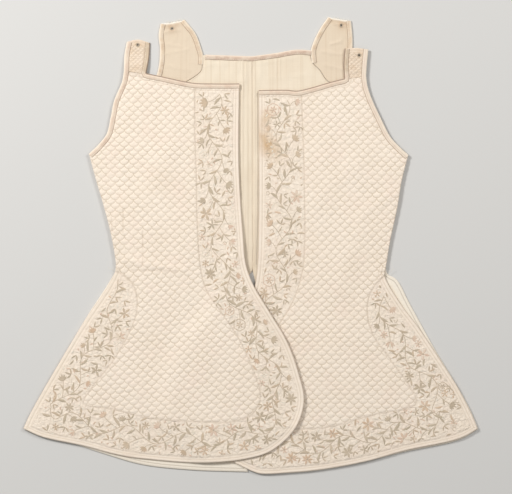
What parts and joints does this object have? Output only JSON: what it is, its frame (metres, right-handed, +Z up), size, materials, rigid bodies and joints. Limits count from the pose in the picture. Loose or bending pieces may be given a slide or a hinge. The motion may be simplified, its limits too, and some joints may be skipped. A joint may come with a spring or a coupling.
{
  "type": "quilted bodice",
  "caption": "Sleeveless quilted linen bodice with flared skirts, open down the front and laid flat, one front lapped over the other, with shoulder straps and bound neck and armholes.",
  "frame": {"origin": "on the table under the middle of the laid-out garment's box", "axes": "+Z up from the table through the flat cloth, +Y towards the neck, +X to the viewer's right, which is the wearer's left"},
  "size_m": [0.615, 0.6176, 0.0084],
  "materials": {
    "quilted_linen": "matt, plain weave",
    "lining_linen": "matt, plain weave",
    "binding_tape": "matt, ribbed tape",
    "embroidery_silk": "satin stitch, faded silk"
  },
  "bodies": {
    "root": {"back_right": "lining_linen", "back_left": "lining_linen", "strap_back_right": "lining_linen", "strap_back_left": "lining_linen", "front_left": "quilted_linen", "front_right": "quilted_linen", "strap_front_right": "quilted_linen", "strap_front_left": "quilted_linen", "neck_tape_back": "binding_tape", "neck_tape_right": "binding_tape", "neck_tape_left": "binding_tape", "armhole_tape_right": "binding_tape", "armhole_tape_left": "binding_tape", "strap_tape_right_inner": "binding_tape", "strap_tape_right_outer": "binding_tape", "strap_tape_left_inner": "binding_tape", "strap_tape_left_outer": "binding_tape"}
  },
  "joints": []
}
